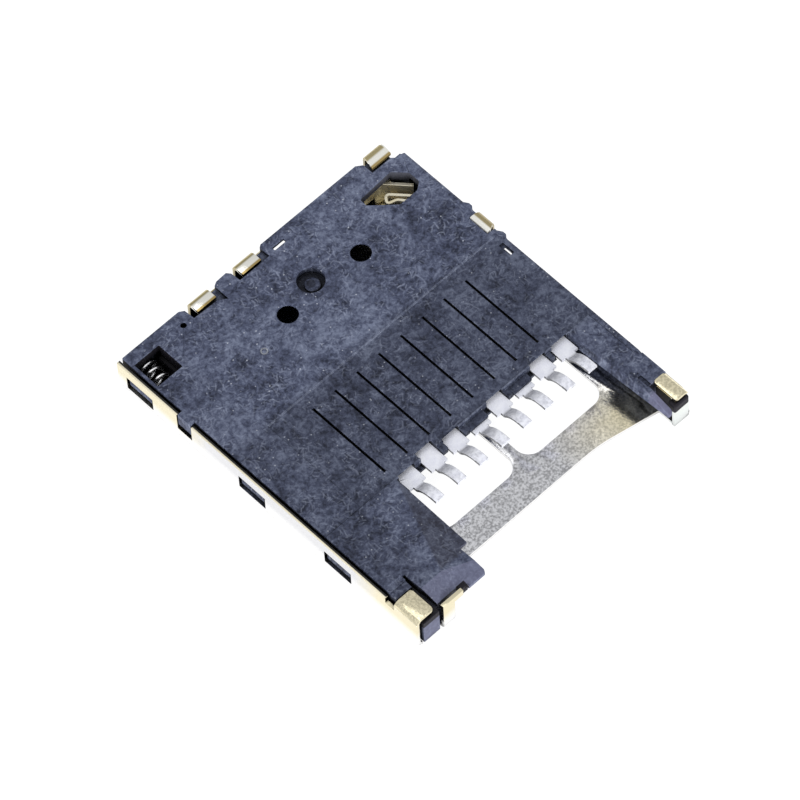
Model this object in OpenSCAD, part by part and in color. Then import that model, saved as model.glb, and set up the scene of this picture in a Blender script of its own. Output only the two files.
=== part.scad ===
// Push-push memory card connector, modelled as it lies on a bench:
// metal cover underneath, the side that is soldered to the board on top.
// X runs across the card, Y from the card mouth (negative) to the rear, Z up.
// The origin is at the middle of the cover's outer face.

/* [Body] */
// Width over the two side walls of the shell
body_w = 13.7; // [13.7:0.05:14]
// Depth over all, from the card mouth to the rear edge
body_d = 15.8; // [15.8:0.05:16]
// Height from the cover's outer face to the solder plane
body_h = 1.68; // [1.68:0.01:1.74]
// Sheet thickness of the shell
sheet_t = 0.15; // [0.13:0.01:0.15]
// Height of the shell's side walls
wall_h = 1.5; // [1.44:0.01:1.54]

/* [Contacts] */
// Number of card contacts
contact_count = 8; // [8]
// Distance from one contact to the next, the card standard's own pitch
contact_pitch = 1.1; // [1.1]
// X of the middle of the contact row
row_x = 1.2; // [1.15:0.01:1.25]
// Thickness of the contact strip
contact_t = 0.12; // [0.1:0.01:0.12]
// Width of the plate that the moulding holds
plate_w = 0.8; // [0.7:0.01:0.85]
// Width of the solder lead
lead_w = 0.43; // [0.36:0.01:0.46]
// Width of the contact beam at its root
beam_w = 0.5; // [0.4:0.01:0.55]

/* [Moulding] */
// Thickness of the floor
floor_t = 0.4; // [0.38:0.01:0.42]
// Length of the slits between the contacts
slit_len = 3.76; // [3.4:0.01:3.9]
// Width of a slit
slit_w = 0.1; // [0.08:0.01:0.12]
// Radius of the two plain round holes
hole_r = 0.41; // [0.38:0.01:0.44]
// Radius of the gate recess between them
gate_r = 0.54; // [0.5:0.01:0.56]

/* [Push-push mechanism] */
// Travel of the slider from ejected to fully pressed
travel = 4; // [3.8:0.05:4]
// Outer diameter of the eject spring
spring_od = 0.92; // [0.86:0.01:0.94]
// Wire diameter of the eject spring
spring_wire = 0.13; // [0.11:0.01:0.14]
// Turns of the eject spring
spring_turns = 26; // [24:1:28]
// Wire diameter of the cam pin
pin_d = 0.22; // [0.2:0.01:0.24]
// Width of the cam groove
groove_w = 0.38; // [0.36:0.01:0.4]

/* [Hidden] */
$fn = 48;

half_w = body_w / 2;
half_d = body_d / 2;
// overshoot of a cutting tool past the face that it cuts
cut = 0.2;

// heights, from the cover up
inner_z = sheet_t;
floor_top = body_h - 0.08;
floor_low = floor_top - floor_t;
arm_top = floor_top + 0.02;
row_top = floor_top - 0.03;
pocket_z = 1.44;
ledge_top = 1.42;
moulding_z = inner_z + 0.02;
// thickness left at the holes and slots that are opened up from below
thin_edge = 0.13;
gate_depth = 0.34;

// drop of both arms' ends towards the mouth
arm_drop = 0.28;

// the shell
bend_r = 0.25;
wall_in = half_w - sheet_t;
finger_y = -6.41;
tab_front_y = -7.76;
tab_rear_y = -6.58;
left_tab_reach = 0.87;
right_tab_reach = 0.66;

// the moulding's plan
side_x = half_w - 0.25;
rim_x = half_w;
rim_z = wall_h + 0.02;
lug_x = half_w + 0.1;
rail_x = 6.15;
left_arm_x = -3.17;
right_arm_x = 5.54;
right_arm_lean = 2.85;
tongue_x = 5.95;
rail_front_y = -7.49;
seat_x = 6.3;
front_y = -2.94;
// moulding's edge over a contact's plate, and over the second contact
plate_edge_y = -2.84;
second_edge_y = -2.6;
rear_in_y = 6.6;
rear_wall_y = half_d - 0.2;
notch_y = 7.25;
side_wall_t = 0.15;
post_y = -6.8;

// rear tails: middle of each foot, and its width
tail_w = 0.92;
tail_a_x = -2.88;
tail_b_x = -0.62;
tail_c_x = 5.98;
tail_c_y = half_d + 0.08;
tail_d_y = 2.72;
tail_d_x = half_w + 0.2;

// contact strip, seen from the side
contact_z = floor_low + contact_t / 2;
foot_z = body_h - contact_t / 2;
foot_tip_y = -4.66;
plate_front_y = -3.48;
plate_rear_y = -1.2;
apex_y = 3.75;
apex_z = 0.62;
bar_z = 1.04;

// slider, at rest, with the card ejected
slider_front_y = post_y + 0.05;
slider_left_x = -side_x + side_wall_t + 0.05;
slider_top = floor_low - 0.04;
rail_right_x = -5.12;
rail_rear_y = -2.3;
cam_left_x = -5.42;
cam_right_x = -3.78;
cam_front_y = -4.8;
cam_rear_y = 0.35;
cam_face_z = 0.46;
groove_z = 0.78;
peg_r = 0.26;

// cam pin and the lanes that it follows
pivot = [-4.41, 5];
lane_rest = [-4.7, -0.35];
lane_pressed = [-4.12, lane_rest[1] - travel];
lane_lock = [-4.62, -3.5];
lane_back = [-5.05, -3.75];
lane_return = [-5.05, -1.6];
pin_z = 0.3;
pin_tip_z = 0.72;
bore_r = pin_d / 2 + 0.02;
bore_top = 1.02;

// eject spring
spring_x = -5.93;
spring_z = 0.68;
spring_front_y = rail_rear_y;
spring_rear_y = 7.46;
spring_sides = 6;
spring_steps = 14;

// unit vector along v
function unit(v) = v / norm(v);

// the arc, in steps, that rounds the corner b of the path a-b-c
function corner(a, b, c, r, steps) =
    let (u = unit(a - b), w = unit(c - b))
    let (half = acos(u * w) / 2)
    let (m = b + unit(u + w) * r / sin(half))
    let (p = b + u * r / tan(half) - m, q = b + w * r / tan(half) - m)
    let (a0 = atan2(p[1], p[0]), turn = atan2(q[1], q[0]) - a0)
    let (sweep = turn > 180 ? turn - 360 : turn < -180 ? turn + 360 : turn)
    [for (i = [0:steps]) m + r * [cos(a0 + sweep * i / steps), sin(a0 + sweep * i / steps)]];

// a path through points of the form [a, b, corner radius], with rounded corners
function rounded(path, steps = 5) = [
    for (i = [0:len(path) - 1])
        let (p = [path[i][0], path[i][1]])
        for (q = i == 0 || i == len(path) - 1 || path[i][2] == 0 ? [p]
                 : corner([path[i - 1][0], path[i - 1][1]], p,
                          [path[i + 1][0], path[i + 1][1]], path[i][2], steps)) q];

// direction square to the path at point i
function across(path, i) =
    let (d = unit(path[min(i + 1, len(path) - 1)] - path[max(i - 1, 0)]))
    [-d[1], d[0]];

// outline of a strip of thickness t that follows the path
function strip(path, t) = concat(
    [for (i = [0:len(path) - 1]) path[i] + across(path, i) * t / 2],
    [for (i = [len(path) - 1:-1:0]) path[i] - across(path, i) * t / 2]);

// a profile drawn in Y and Z, extruded along X
module along_x(x0, x1) {
    translate([x0, 0, 0])
        rotate([90, 0, 90])
            linear_extrude(height = x1 - x0)
                children();
}

// a profile drawn in X and Z, extruded along Y
module along_y(y0, y1) {
    translate([0, y1, 0])
        rotate([90, 0, 0])
            linear_extrude(height = y1 - y0)
                children();
}

// a plan drawn in X and Y, extruded between two heights
module layer(z0, z1) {
    translate([0, 0, z0])
        linear_extrude(height = z1 - z0)
            children();
}

// a box between two corners
module block(low, high) {
    translate(low)
        cube(high - low);
}

// a rectangle between two corners, with round corners
module round_rect(low, high, r) {
    translate([low[0] + r, low[1]])
        square([high[0] - low[0] - 2 * r, high[1] - low[1]]);
    translate([low[0], low[1] + r])
        square([high[0] - low[0], high[1] - low[1] - 2 * r]);
    for (x = [low[0] + r, high[0] - r], y = [low[1] + r, high[1] - r])
        translate([x, y])
            circle(r);
}

// a slot of width w with round ends, from a to b
module lane(a, b, w) {
    translate(a)
        rotate(atan2(b[1] - a[1], b[0] - a[0])) {
            translate([0, -w / 2])
                square([norm(b - a), w]);
            circle(w / 2);
            translate([norm(b - a), 0])
                circle(w / 2);
        }
}

// a trough of width w and height h with its bends at the foot
module trough(w, h, r) {
    translate([-w / 2, r])
        square([w, h - r]);
    translate([-w / 2 + r, 0])
        square([w - 2 * r, h / 2]);
    for (s = [-1, 1])
        translate([s * (w / 2 - r), r])
            circle(r);
}

// SHELL: one stamped and folded sheet

// rest positions of the snap windows in the side walls, along Y
left_windows = [-3.66, 0.8, 6.73];
right_windows = [-3.66, 0.1, 5.3];
window_len = 1.38;
window_low = 0.34;
window_high = 1.04;

// the rear tail's own path in Y and Z: up from the cover, then over into a foot
tail_path = rounded([[half_d - 0.8, sheet_t / 2, 0], [half_d - sheet_t / 2, sheet_t / 2, 0.175],
                     [half_d - sheet_t / 2, body_h - sheet_t / 2, 0.2],
                     [notch_y + 0.05, body_h - sheet_t / 2, 0]]);

// the front edge of the cover, with its shallow finger cut-out
finger_edge = rounded([[-5.08, -half_d - cut, 0], [-5.08, -7.1, 0.3], [-4.5, finger_y, 0.6],
                       [3.5, finger_y, 6], [6.12, -6.94, 0], [6.12, tab_front_y, 0],
                       [half_w + cut, tab_front_y, 0], [half_w + cut, -half_d - cut, 0]]);

module cover_cutouts() {
    // inspection windows over the solder leads
    layer(-cut, wall_h / 2) {
        round_rect([-3.03, -5.08], [0.87, -1.9], 0.62);
        round_rect([1.32, -5.08], [5.28, -1.9], 0.62);
        polygon(finger_edge);
        // a slot on three sides frees the finger that holds the cam pin down
        difference() {
            round_rect([-4.95, 1], [-3.95, 3.4], 0.12);
            round_rect([-4.78, 1.17], [-4.12, 3.6], 0.1);
        }
        // two slots free the brake finger that rubs on the card
        difference() {
            round_rect([2.1, 1.6], [3.4, 4.4], 0.12);
            round_rect([2.27, 1.4], [3.23, 4.23], 0.1);
        }
        // clear of the detect terminal's tail
        translate([5.2, half_d - 0.45])
            square([2, 1]);
    }
}

module wall_cutouts() {
    for (y = left_windows)
        block([-half_w - cut, y - window_len / 2, window_low],
              [-wall_in + cut, y + window_len / 2, window_high]);
    for (y = right_windows)
        block([wall_in - cut, y - window_len / 2, window_low],
              [half_w + cut, y + window_len / 2, window_high]);
    // notch for the moulding's lug
    block([-half_w - cut, 3.96, 0.62], [-wall_in + cut, 4.72, wall_h + cut]);
    // opening for the detect terminal's tail
    block([wall_in - cut, 1.2, 0.55], [half_w + cut, 3.92, wall_h + cut]);
    // relief notches behind the front tabs
    for (s = [-1, 1])
        translate([s * half_w, 0, 0])
            block([-0.4, tab_rear_y, 1.22], [0.4, tab_rear_y + 0.44, wall_h + cut]);
    // the right wall stops short of the rear corner
    block([wall_in - bend_r, 7, bend_r], [half_w + cut, half_d + cut, wall_h + cut]);
    // the walls end just behind the front tabs' faces
    for (s = [-1, 1])
        translate([s * half_w, 0, 0])
            block([-0.4, -half_d - cut, -cut], [0.4, tab_front_y, wall_h + cut]);
}

// a front corner of the side wall, folded over the moulding into a solder tab
module front_tab(reach) {
    path = rounded([[-half_w + sheet_t / 2, 1, 0], [-half_w + sheet_t / 2, body_h - sheet_t / 2, 0.2],
                    [-half_w + reach, body_h - sheet_t / 2, 0]]);
    intersection() {
        along_y(tab_front_y, tab_rear_y)
            polygon(strip(path, sheet_t));
        layer(0, body_h + cut)
            round_rect([-half_w - 1, tab_front_y], [-half_w + reach, tab_rear_y], 0.14);
    }
}

module shell() {
    color([0.86, 0.8, 0.62])
    union() {
        difference() {
            along_y(-half_d, half_d)
                difference() {
                    trough(body_w, wall_h, bend_r);
                    translate([0, sheet_t])
                        trough(body_w - 2 * sheet_t, wall_h, bend_r - sheet_t);
                }
            cover_cutouts();
            wall_cutouts();
            // room for the bends at the rear edge, and for the post and the hook at the front
            block([-4.1, half_d - 0.3, -cut], [0.4, half_d + cut, wall_h]);
            block([-half_w + bend_r, -half_d - cut, -cut], [-5, -half_d + 0.35, wall_h]);
        }
        // low rear walls beside the two tails that rise from the rear edge
        rear = rounded([[half_d - 0.8, sheet_t / 2, 0], [half_d - sheet_t / 2, sheet_t / 2, 0.175],
                        [half_d - sheet_t / 2, 1.12, 0]]);
        for (side = [[tail_a_x, -1.34], [tail_b_x, 0.4]])
            along_x(side[0], side[1])
                polygon(strip(rear, sheet_t));
        for (x = [tail_a_x, tail_b_x])
            along_x(x - tail_w / 2, x + tail_w / 2)
                polygon(strip(tail_path, sheet_t));
        front_tab(left_tab_reach);
        mirror([1, 0, 0])
            front_tab(right_tab_reach);
        // hook in front of the left arm: a leg from the cover and a bar across
        hook = rounded([[-half_d + 0.6, sheet_t / 2, 0], [-half_d + sheet_t / 2, sheet_t / 2, 0.175],
                        [-half_d + sheet_t / 2, 1.57, 0]]);
        along_x(-5.66, -5.1)
            polygon(strip(hook, sheet_t));
        block([-5.66, -half_d, 1.27], [-4.53, -half_d + sheet_t, 1.57]);
    }
}

// HOUSING: one moulding

// plan of the floor, without its pockets
module floor_plan() {
    polygon([
        // rear edge, with the notches for the tails
        [-side_x, half_d - 0.03], [-3.78, half_d - 0.03], [-3.6, half_d - 0.16], [-3.58, notch_y],
        [-2.45, notch_y - 0.04], [-2.12, 6.97], [-2.1, half_d - 0.15], [-1.92, half_d - 0.05],
        [-1.42, half_d - 0.03], [-1.3, half_d - 0.2], [-1.28, notch_y], [0.2, notch_y],
        [0.2, half_d - 0.12], [0.32, half_d - 0.03],
        [5.14, half_d - 0.03], [5.38, half_d - 0.22], [5.38, 7.18], [6.32, 7.18], [6.42, 7.08],
        // right side, the tab's pocket and the tongue beside it
        [side_x, 7.08], [side_x, -6.5], [6.12, -6.5], [6.08, -6.62], [tongue_x, -6.78],
        [tongue_x, -half_d + 0.16], [tongue_x - 0.05, -half_d + 0.05], [tongue_x - 0.14, -half_d + 0.01],
        [right_arm_x + 0.06, -half_d + 0.05], [right_arm_x - 0.12, -half_d + 0.2],
        [right_arm_x - 0.12, front_y], [left_arm_x, front_y],
        // left arm, with the hook's recess and the slit beside the tab
        [left_arm_x, -6.54], [-3.53, -6.55], [-3.47, -7.72], [-3.54, -half_d + 0.06],
        [-4.34, -half_d + 0.06], [-4.38, -7.58], [-5.66, -7.58],
        [-5.72, -5.97], [-5.82, -5.97], [-5.84, -6.48], [-side_x, -6.48]]);
}

module floor_cuts() {
    // slits between the contacts
    for (i = [0:contact_count - 1]) {
        x = row_x + contact_pitch * (i - contact_count / 2);
        block([x - slit_w / 2, 1.38 - slit_len, floor_low - cut], [x + slit_w / 2, 1.38, floor_top + cut]);
    }
    // the field round the slits lies a little lower
    block([-4.87, -2.86, row_top], [side_x + cut, 1.99, floor_top + cut]);
    // window over the end of the eject spring
    block([-6.5, 6.05, floor_low - cut], [-5.29, 7.32, floor_top + cut]);
    // window over the detect switch
    layer(floor_low - cut, floor_top + cut)
        polygon(rounded([[4.23, 6.5, 0], [4.23, 6.66, 0.1], [5.86, 6.76, 0.12], [6.34, 6.24, 0.15],
                         [6.34, 5.7, 0.2], [6, 5.46, 0.2], [5.12, 5.46, 0.15], [4.23, 6.3, 0]]));
    // two plain holes, thin-edged because they are counterbored from below
    for (p = [[-1.06, 4.95], [2.66, 4.98]])
        translate([p[0], p[1], floor_low - cut]) {
            cylinder(r = hole_r, h = floor_t + 2 * cut);
            cylinder(r = hole_r + 0.35, h = floor_t + cut - thin_edge);
        }
    // gate recess, with the gate's stub left standing in it
    translate([0.53, 5.4, floor_top - gate_depth])
        difference() {
            cylinder(r = gate_r, h = gate_depth + cut);
            translate([0.02, -0.06, -cut])
                cylinder(r = 0.31, h = cut + 0.1);
        }
    // ejector mark and core pin hole
    translate([-2.76, 4.4, floor_top - 0.03])
        difference() {
            cylinder(r = 0.15, h = cut);
            cylinder(r = 0.09, h = 2 * cut);
        }
    translate([-4.07, 7.3, floor_top - 0.3])
        cylinder(r = 0.12, h = 0.3 + cut);
    // narrow slots at the rear edge and at the right edge
    block([0.51, 7.28, inner_z], [1.07, 7.43, floor_top + cut]);
    block([6.42, 1, 1.1], [side_x + 0.02, 1.6, floor_top + cut]);
    block([6.42, 1, 1.36], [half_w + cut, 1.6, rim_z]);
    arm_end_cuts();
    // the rear edge falls away
    along_x(-half_w, half_w)
        polygon([[half_d - 0.45, floor_top], [half_d, floor_top - 0.04],
                 [half_d, floor_top + cut], [half_d - 0.45, floor_top + cut]]);
    // chamfer along the rim over the right wall, but not on its lugs
    for (span = [[-6.5, lugs_y[0]], [lugs_y[0] + lug_len, lugs_y[1]], [lugs_y[1] + lug_len, 7.1]])
        along_y(span[0], span[1])
            polygon([[rim_x - 0.14, arm_top], [rim_x, rim_z + 0.02], [lug_x + cut, rim_z + 0.02],
                     [lug_x + cut, arm_top + cut], [rim_x - 0.14, arm_top + cut]]);
}

// slopes and steps on the two arms beside the mouth
module arm_end_cuts() {
    // both arms' ends slope down to the mouth
    slope_y = -6.8;
    for (arm = [[-5.7, -3.3], [right_arm_x - cut, tongue_x + 0.01]])
        along_x(arm[0], arm[1])
            polygon([[slope_y, arm_top], [-half_d, arm_top - arm_drop],
                     [-half_d, arm_top + cut], [slope_y, arm_top + cut]]);
    // the left arm's inner side falls away in a facet that widens towards the mouth
    translate([-4.63, -6.67, arm_top])
        rotate(-21.3)
            along_y(-1.6, 3.9)
                polygon([[0, 0], [2, -0.18], [2, cut], [0, cut]]);
    // and is thinned from below
    block([-3.7, -6.6, floor_low - cut], [left_arm_x + cut, -4, floor_top - 0.22]);
    // shallow steps behind both solder tabs: place of each, and how far it lies below the arm
    for (step = [[-5.9, 0.04], [-6.15, 0.09]])
        block([-half_w, tab_rear_y, arm_top - step[1]], [-5.8, step[0], arm_top + cut]);
    for (step = [[-5.9, 0.04], [-6.04, 0.09]])
        block([5.93, tab_rear_y, arm_top - step[1]], [half_w, step[0], arm_top + cut]);
    // the right arm's inner face leans, in plan and in height
    translate([right_arm_x, front_y, 0])
        rotate(right_arm_lean)
            along_y(-5.2, 0.05)
                polygon([[-0.11, floor_low], [0, arm_top], [0, arm_top + cut], [-1, arm_top + cut],
                         [-1, floor_low - 0.01], [-0.11, floor_low - 0.01]]);
}

// the parts of the moulding below its floor
module lower_walls() {
    // side wall beside the slider
    block([-side_x, post_y, moulding_z], [-side_x + side_wall_t, rear_wall_y, floor_low + 0.05]);
    // rail beside the card, with a deep channel between the tongue and the right tab
    difference() {
        block([rail_x, rail_front_y, moulding_z], [side_x, 7.08, floor_low + 0.05]);
        block([rail_x - cut, rail_front_y - cut, 0.5], [seat_x, tab_rear_y, floor_low + cut]);
    }
    // seat under the right tab
    block([seat_x, rail_front_y, floor_low - 0.1], [side_x, tab_rear_y + cut, pocket_z]);
    // rear wall
    block([-5.42, rear_in_y, moulding_z], [5.3, notch_y, floor_low + 0.05]);
    block([-side_x, spring_rear_y, moulding_z], [-3.6, rear_wall_y, floor_low + 0.05]);
    block([1.7, notch_y - 0.1, moulding_z], [5.3, rear_wall_y, floor_low + 0.05]);
    // seat of the cam pin, between the spring's channel and the card
    block([cam_left_x, 4.55, cam_face_z], [cam_right_x, rear_in_y + 0.1, floor_low + 0.05]);
    block([cam_left_x, 5.7, moulding_z], [cam_right_x, rear_in_y + 0.1, floor_low + 0.05]);
    // front post and the stop for the slider
    block([-side_x, -half_d + 0.05, moulding_z], [-5.82, post_y, pocket_z]);
    block([-5.82, -7.58, 0.95], [-4.7, post_y, floor_low + 0.05]);
    block([-4.75, -7.58, 1], [-4.1, -7.3, floor_low + 0.05]);
    // bar under the contacts' plates
    block([left_arm_x, -3.1, bar_z], [right_arm_x, -2.2, floor_low + 0.01]);
    // slope from the right arm down to the rail
    along_y(-6.5, front_y)
        polygon([[5.76, floor_low], [5.76, floor_top - 0.1], [rail_x + 0.1, floor_top - 0.1],
                 [rail_x + 0.1, 0.9], [rail_x - 0.12, 0.9]]);
    // ledges under the feet of the rear tails
    for (side = [[tail_a_x, -2.1], [tail_b_x, 0.2], [tail_c_x - 0.6, tail_c_x + 0.4]])
        block([side[0], 6.95, floor_low - 0.2], [side[1], rear_wall_y, ledge_top]);
    // slanted wall inside the switch window
    layer(0.96, floor_low + 0.05)
        polygon([[5.86, 6.76], [6.34, 6.24], [6.5, 6.24], [6.5, 7.08], [5.86, 7.08]]);
}

// front ends and length of the lugs beside the detect terminal's tail
lugs_y = [1.62, 3.4];
lug_len = 0.48;

module lugs() {
    // lug that fills the notch in the left wall
    block([-half_w + 0.02, 4, 0.95], [-side_x + 0.1, 4.67, floor_top]);
    // rim that reaches out over the right wall
    layer(rim_z, floor_top)
        polygon([[side_x - 0.1, 7.08], [side_x + 0.08, 7.08], [side_x + 0.1, 7.02], [rim_x, 7.02],
                 [rim_x, -5.2], [rim_x - 0.12, -5.95], [rim_x - 0.15, -6.53], [side_x - 0.1, -6.53]]);
    for (y = lugs_y)
        layer(floor_low, floor_top)
            polygon([[side_x - 0.1, y], [rim_x - 0.02, y], [lug_x, y + 0.14], [lug_x, y + 0.28],
                     [rim_x - 0.02, y + lug_len], [side_x - 0.1, y + lug_len]]);
    // snap ramps in the shell's windows
    for (y = left_windows)
        along_y(y - 0.58, y + 0.58)
            polygon([[-side_x + 0.05, 0.42], [-side_x, 0.42], [-half_w + 0.05, 0.62],
                     [-half_w + 0.05, 0.9], [-side_x + 0.05, 0.9]]);
    for (y = right_windows)
        along_y(y - 0.58, y + 0.58)
            polygon([[side_x - 0.05, 0.42], [side_x, 0.42], [half_w - 0.05, 0.62],
                     [half_w - 0.05, 0.9], [side_x - 0.05, 0.9]]);
}

// small teeth and ledges along the front edge, between and over the contacts
module front_edge_details() {
    for (k = [-2, -1, 1, 3]) {
        x = row_x + contact_pitch * k;
        block([x - 0.14, front_y - 0.28, floor_low - 0.05], [x + 0.14, front_y + 0.05, 1.47]);
    }
    for (k = [-0.5, 1.5]) {
        x = row_x + contact_pitch * k;
        block([x - 0.46, front_y - 0.34, contact_z + contact_t / 2], [x + 0.46, front_y + 0.05, 1.44]);
    }
}

module housing() {
    color([0.3, 0.32, 0.42])
    difference() {
        union() {
            layer(floor_low, floor_top)
                floor_plan();
            // the arms stand a hair higher than the field round the slits
            layer(floor_top - 0.01, arm_top)
                intersection() {
                    floor_plan();
                    translate([-half_w, -half_d])
                        square([body_w, half_d - 2.86]);
                }
            lower_walls();
            lugs();
            front_edge_details();
        }
        floor_cuts();
        // channels that seat the contacts' plates and clear the roots of their beams
        for (i = [0:contact_count - 1])
            translate([row_x + contact_pitch * (i - contact_count / 2 + 0.5), 0, 0]) {
                edge_y = i == 1 ? second_edge_y : plate_edge_y;
                if (i != 3 && i != 5)
                    along_x(-plate_w / 2, plate_w / 2)
                        polygon([[front_y - cut, floor_low], [edge_y + 0.18, floor_low],
                                 [edge_y, row_top - 0.03], [edge_y, floor_top + cut],
                                 [front_y - cut, floor_top + cut]]);
                block([-plate_w / 2, plate_front_y - cut, floor_low],
                      [plate_w / 2, plate_rear_y, floor_low + contact_t]);
                block([-beam_w / 2 - 0.05, plate_rear_y - 0.1, floor_low - cut],
                      [beam_w / 2 + 0.05, 0.3, floor_low + contact_t]);
            }
        // bore for the cam pin's pivot end
        translate([pivot[0], pivot[1], cam_face_z - cut])
            cylinder(r = bore_r, h = bore_top - cam_face_z + cut);
        // cavity of the detect switch, open to the card space
        layer(moulding_z - cut, floor_low)
            polygon([[4.1, 5.2], [6.3, 5.2], [6.3, 6.28], [5.82, 6.8], [5.82, 7.05], [4.1, 7.05]]);
        block([rail_x - 0.1, 4.7, 0.45], [6.5, 6.24, floor_low]);
        block([5.8, 6.2, 0.45], [6.5, 7.05, 0.96]);
        // slots for the detect terminals
        block([6.36, 2.2, 0.55], [6.48, 4.8, floor_low]);
        block([6.36, tail_d_y - 0.47, 0.74], [lug_x + cut, tail_d_y + 0.47, 0.93]);
        block([side_x - 0.12, tail_d_y - 0.47, 0.74], [lug_x + cut, tail_d_y + 0.47, floor_top + cut]);
        block([5.42, 6.9, 0.79], [6.52, half_d + cut, 0.92]);
        // the rear edge is open behind its narrow slot
        block([0.4, 6.9, moulding_z - cut], [1.9, half_d + cut, floor_top - thin_edge]);
    }
}

// CONTACTS: eight strips, each with a gull-wing lead, a held plate and a sprung beam

contact_path = rounded([[foot_tip_y, foot_z, 0], [-3.97, foot_z, 0.9], [-3.62, contact_z, 0.12],
                        [plate_rear_y, contact_z, 1.5], [apex_y, apex_z, 0.35], [4.35, 0.9, 0]]);

module contact(i) {
    color([0.86, 0.86, 0.9])
    translate([row_x + contact_pitch * (i - contact_count / 2 + 0.5), 0, 0])
        intersection() {
            along_x(-plate_w / 2, plate_w / 2)
                polygon(strip(contact_path, contact_t));
            layer(0, body_h + cut)
                polygon([[-lead_w / 2, foot_tip_y - cut], [-lead_w / 2, plate_front_y],
                         [-plate_w / 2, plate_front_y], [-plate_w / 2, plate_rear_y],
                         [-beam_w / 2, plate_rear_y], [-beam_w / 3, 5],
                         [beam_w / 3, 5], [beam_w / 2, plate_rear_y],
                         [plate_w / 2, plate_rear_y], [plate_w / 2, plate_front_y],
                         [lead_w / 2, plate_front_y], [lead_w / 2, foot_tip_y - cut]]);
        }
}

// DETECT SWITCH: two terminals that the card's corner presses together

// thickness of the switch's strips
detect_t = 0.12;

module detect_fixed_terminal() {
    tail = rounded([[6.85, 0.85, 0], [tail_c_y - detect_t / 2, 0.85, 0.15],
                    [tail_c_y - detect_t / 2, foot_z, 0.25], [7.28, foot_z, 0]]);
    // plate along the rear wall, turned off at its right end
    blade = rounded([[4.62, 6.94, 0], [5.5, 6.9, 0.1], [6.3, 5.98, 0]]);
    color([0.85, 0.74, 0.45])
    union() {
        // its sides slant a little
        intersection() {
            along_x(5.44, 6.5)
                polygon(strip(tail, detect_t));
            layer(0, body_h + cut)
                polygon([[5.44, 6.8], [5.46, 7.25], [5.62, 7.9], [5.62, 8.1],
                         [6.5, 8.1], [6.5, 7.9], [6.42, 7.25], [6.4, 6.8]]);
        }
        layer(0.5, 1.08)
            polygon(strip(blade, detect_t));
    }
}

module detect_spring_terminal() {
    tail = rounded([[6.49, foot_z, 0], [tail_d_x - detect_t / 2, foot_z, 0.36],
                    [tail_d_x - detect_t / 2, 0.8, 0.1], [6.36, 0.8, 0]]);
    // blade that ends in a hook
    blade = rounded([[6.42, 2.25, 0], [6.42, 4.95, 0.5], [5.9, 5.8, 0.3], [5.32, 6.46, 0.12],
                     [5.04, 6.12, 0.1], [5.46, 5.99, 0.3], [5.66, 5.7, 0]]);
    color([0.85, 0.74, 0.45])
    union() {
        // one corner of it is cut off
        intersection() {
            along_y(tail_d_y - 0.45, tail_d_y + 0.47)
                polygon(strip(tail, detect_t));
            layer(0, body_h + cut)
                polygon([[6, 2], [6.62, 2.25], [6.98, 2.48], [7.2, 2.48], [7.2, 3.4], [6, 3.4]]);
        }
        layer(0.55, 1)
            polygon(strip(blade, detect_t));
    }
}

// SLIDER: the moulding that the card pushes and that the spring returns

module heart_groove() {
    lane(lane_rest, lane_pressed, groove_w);
    lane(lane_pressed, lane_lock, groove_w);
    lane(lane_lock, lane_back, groove_w);
    lane(lane_back, lane_return, groove_w);
    lane(lane_return, lane_rest, groove_w);
}

module slider() {
    color([0.22, 0.22, 0.26])
    difference() {
        union() {
            block([cam_left_x, cam_front_y, cam_face_z], [cam_right_x, cam_rear_y, slider_top]);
            block([slider_left_x, slider_front_y, inner_z + 0.04], [rail_right_x, rail_rear_y, slider_top]);
            translate([spring_x, rail_rear_y - 0.1, spring_z])
                rotate([-90, 0, 0]) {
                    cylinder(r = peg_r, h = 0.8);
                    translate([0, 0, 0.8])
                        cylinder(r1 = peg_r, r2 = peg_r - 0.1, h = 0.15);
                }
        }
        layer(cam_face_z - cut, groove_z)
            heart_groove();
        // ramp that lets the card's rim ride onto the slider
        along_x(cam_left_x - cut, cam_right_x + cut)
            polygon([[cam_front_y - cut, 0.9], [cam_front_y + 0.01, 0.9], [cam_front_y + 0.25, slider_top + 0.01],
                     [cam_front_y - cut, slider_top + 0.01]]);
        // pocket of the lock spring, and the slit that grips its end
        block([-5.75, -6.3, 0.36], [rail_right_x + cut, -3.35, 1]);
        block([-5.66, -3.4, 0.4], [-5.56, -2.7, 1.3]);
        // chamfer at the leading corner
        layer(0, body_h)
            polygon([[slider_left_x - 0.1, slider_front_y - 0.1], [slider_left_x + 0.25, slider_front_y - 0.1],
                     [slider_left_x - 0.1, slider_front_y + 0.25]]);
    }
}

// leaf on the slider whose bump drops into the notch at the card's side
module card_lock_spring() {
    path = rounded([[-5.61, -2.72, 0], [-5.61, -3.6, 0.3], [-5.3, -4.9, 0.4], [-4.94, -5.45, 0.15],
                    [-5.25, -6.05, 0]]);
    color([0.8, 0.8, 0.82])
    layer(0.42, 0.92)
        polygon(strip(path, 0.1));
}

// CAM PIN: a bent wire, pivoted in the housing, whose tip runs in the heart groove

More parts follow.
